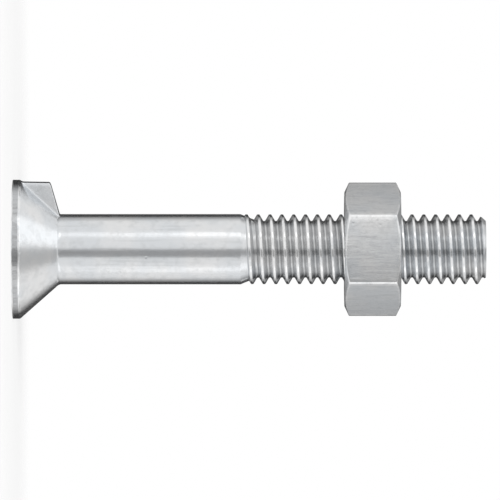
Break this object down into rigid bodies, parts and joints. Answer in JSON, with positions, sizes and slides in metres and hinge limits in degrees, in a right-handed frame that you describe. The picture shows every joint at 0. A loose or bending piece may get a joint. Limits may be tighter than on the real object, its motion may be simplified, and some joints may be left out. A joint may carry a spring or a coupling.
{
  "type": "countersunk nib bolt",
  "caption": "Flat countersunk bolt with an anti-rotation nib under the head, a part-threaded shank and a hexagon nut run onto its thread.",
  "frame": {"origin": "centre of the bolt's flat head face, which the part stands on", "axes": "+Z along the bolt from the head to the tip; -X towards the nib, and a corner of the nut at +X and at -X"},
  "size_m": [0.0118, 0.0118, 0.04],
  "materials": {
    "bolt_steel": "satin",
    "nut_steel": "satin"
  },
  "bodies": {
    "bolt": {"bolt": "bolt_steel"},
    "nut": {"nut": "nut_steel"}
  },
  "joints": [
    {"name": "nut_travel", "type": "slide", "parent": "bolt", "child": "nut", "axis": [0, 0, 1], "range_m": [-0.007, 0.013]}
  ]
}
